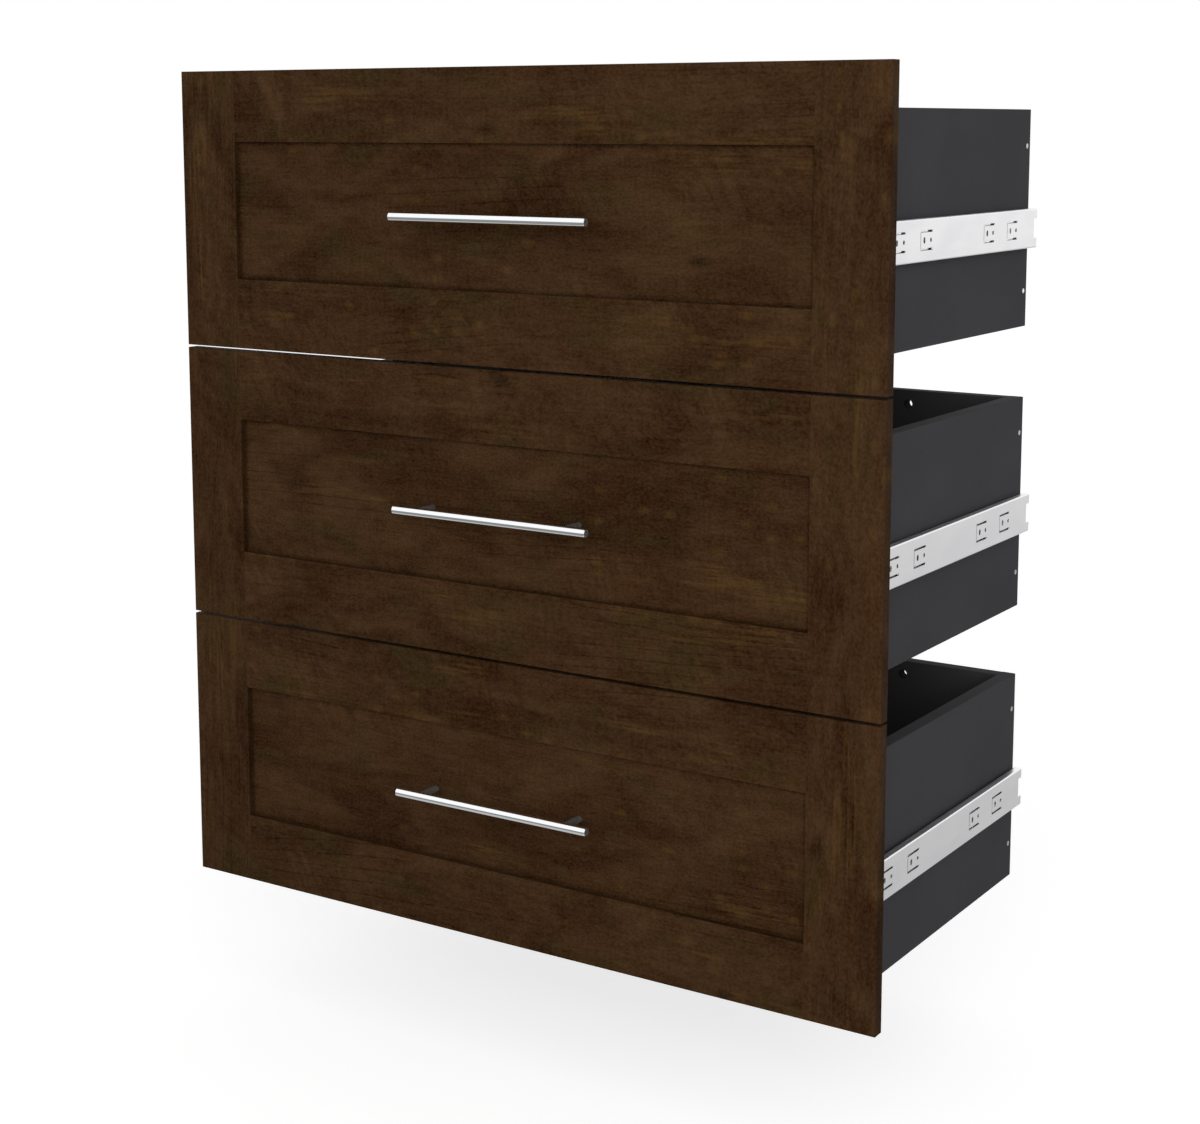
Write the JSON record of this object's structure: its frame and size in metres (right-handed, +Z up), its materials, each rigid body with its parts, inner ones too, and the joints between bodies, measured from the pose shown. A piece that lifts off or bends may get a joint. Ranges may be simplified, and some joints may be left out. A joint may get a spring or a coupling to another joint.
{
  "type": "closet drawer insert",
  "caption": "Bank of wide overlay drawers with recessed-panel fronts and bar handles, on telescopic ball-bearing side slides that screw to a closet's side panels.",
  "frame": {"origin": "bottom plane of the lowest front, under the middle of the whole bank", "axes": "+X across the fronts to the right as seen from the front, +Y from the fronts to the back of the closet, +Z up"},
  "size_m": [0.9, 0.4524, 0.957],
  "materials": {
    "front_wood": "dark chocolate stained maple, satin",
    "handle_metal": "polished",
    "box_board": "charcoal melamine, matt",
    "bottom_board": "charcoal melamine, matt",
    "slide_zinc": "bright zinc plate",
    "ball_steel": "bright steel, lightly greased",
    "screw_zinc": "bright zinc plate"
  },
  "bodies": {
    "closet_members": {"bottom_left_cabinet_member": "slide_zinc", "bottom_right_cabinet_member": "slide_zinc", "middle_left_cabinet_member": "slide_zinc", "middle_right_cabinet_member": "slide_zinc", "top_left_cabinet_member": "slide_zinc", "top_right_cabinet_member": "slide_zinc"},
    "bottom_drawer": {"bottom_front_stiles": "front_wood", "bottom_front_rails": "front_wood", "bottom_front_panel": "front_wood", "bottom_handle_bar": "handle_metal", "bottom_handle_posts": "handle_metal", "bottom_handle_screws": "screw_zinc", "bottom_box_sides": "box_board", "bottom_box_front": "box_board", "bottom_box_back": "box_board", "bottom_box_bottom": "bottom_board", "bottom_box_screws": "screw_zinc", "bottom_slide_screws": "screw_zinc", "bottom_left_drawer_member": "slide_zinc", "bottom_right_drawer_member": "slide_zinc"},
    "bottom_middle_members": {"bottom_left_middle_member": "slide_zinc", "bottom_right_middle_member": "slide_zinc"},
    "bottom_outer_cages": {"bottom_outer_ball_cages": "ball_steel"},
    "bottom_inner_cages": {"bottom_inner_ball_cages": "ball_steel"},
    "middle_drawer": {"middle_front_stiles": "front_wood", "middle_front_rails": "front_wood", "middle_front_panel": "front_wood", "middle_handle_bar": "handle_metal", "middle_handle_posts": "handle_metal", "middle_handle_screws": "screw_zinc", "middle_box_sides": "box_board", "middle_box_front": "box_board", "middle_box_back": "box_board", "middle_box_bottom": "bottom_board", "middle_box_screws": "screw_zinc", "middle_slide_screws": "screw_zinc", "middle_left_drawer_member": "slide_zinc", "middle_right_drawer_member": "slide_zinc"},
    "middle_middle_members": {"middle_left_middle_member": "slide_zinc", "middle_right_middle_member": "slide_zinc"},
    "middle_outer_cages": {"middle_outer_ball_cages": "ball_steel"},
    "middle_inner_cages": {"middle_inner_ball_cages": "ball_steel"},
    "top_drawer": {"top_front_stiles": "front_wood", "top_front_rails": "front_wood", "top_front_panel": "front_wood", "top_handle_bar": "handle_metal", "top_handle_posts": "handle_metal", "top_handle_screws": "screw_zinc", "top_box_sides": "box_board", "top_box_front": "box_board", "top_box_back": "box_board", "top_box_bottom": "bottom_board", "top_box_screws": "screw_zinc", "top_slide_screws": "screw_zinc", "top_left_drawer_member": "slide_zinc", "top_right_drawer_member": "slide_zinc"},
    "top_middle_members": {"top_left_middle_member": "slide_zinc", "top_right_middle_member": "slide_zinc"},
    "top_outer_cages": {"top_outer_ball_cages": "ball_steel"},
    "top_inner_cages": {"top_inner_ball_cages": "ball_steel"}
  },
  "joints": [
    {"name": "bottom_drawer_slide", "type": "slide", "parent": "closet_members", "child": "bottom_drawer", "axis": [0, -1, 0], "range_m": [0, 0.4]},
    {"name": "bottom_middle_member_slide", "type": "slide", "parent": "closet_members", "child": "bottom_middle_members", "axis": [0, -1, 0], "range_m": [0, 0.2]},
    {"name": "bottom_outer_cage_slide", "type": "slide", "parent": "closet_members", "child": "bottom_outer_cages", "axis": [0, -1, 0], "range_m": [0, 0.1]},
    {"name": "bottom_inner_cage_slide", "type": "slide", "parent": "closet_members", "child": "bottom_inner_cages", "axis": [0, -1, 0], "range_m": [0, 0.3]},
    {"name": "middle_drawer_slide", "type": "slide", "parent": "closet_members", "child": "middle_drawer", "axis": [0, -1, 0], "range_m": [0, 0.4]},
    {"name": "middle_middle_member_slide", "type": "slide", "parent": "closet_members", "child": "middle_middle_members", "axis": [0, -1, 0], "range_m": [0, 0.2]},
    {"name": "middle_outer_cage_slide", "type": "slide", "parent": "closet_members", "child": "middle_outer_cages", "axis": [0, -1, 0], "range_m": [0, 0.1]},
    {"name": "middle_inner_cage_slide", "type": "slide", "parent": "closet_members", "child": "middle_inner_cages", "axis": [0, -1, 0], "range_m": [0, 0.3]},
    {"name": "top_drawer_slide", "type": "slide", "parent": "closet_members", "child": "top_drawer", "axis": [0, -1, 0], "range_m": [0, 0.4]},
    {"name": "top_middle_member_slide", "type": "slide", "parent": "closet_members", "child": "top_middle_members", "axis": [0, -1, 0], "range_m": [0, 0.2]},
    {"name": "top_outer_cage_slide", "type": "slide", "parent": "closet_members", "child": "top_outer_cages", "axis": [0, -1, 0], "range_m": [0, 0.1]},
    {"name": "top_inner_cage_slide", "type": "slide", "parent": "closet_members", "child": "top_inner_cages", "axis": [0, -1, 0], "range_m": [0, 0.3]}
  ],
  "couplings": [
    {"joint": "bottom_middle_member_slide", "follows": "bottom_drawer_slide", "ratio": 0.5},
    {"joint": "bottom_outer_cage_slide", "follows": "bottom_drawer_slide", "ratio": 0.25},
    {"joint": "bottom_inner_cage_slide", "follows": "bottom_drawer_slide", "ratio": 0.75},
    {"joint": "middle_middle_member_slide", "follows": "middle_drawer_slide", "ratio": 0.5},
    {"joint": "middle_outer_cage_slide", "follows": "middle_drawer_slide", "ratio": 0.25},
    {"joint": "middle_inner_cage_slide", "follows": "middle_drawer_slide", "ratio": 0.75},
    {"joint": "top_middle_member_slide", "follows": "top_drawer_slide", "ratio": 0.5},
    {"joint": "top_outer_cage_slide", "follows": "top_drawer_slide", "ratio": 0.25},
    {"joint": "top_inner_cage_slide", "follows": "top_drawer_slide", "ratio": 0.75}
  ]
}
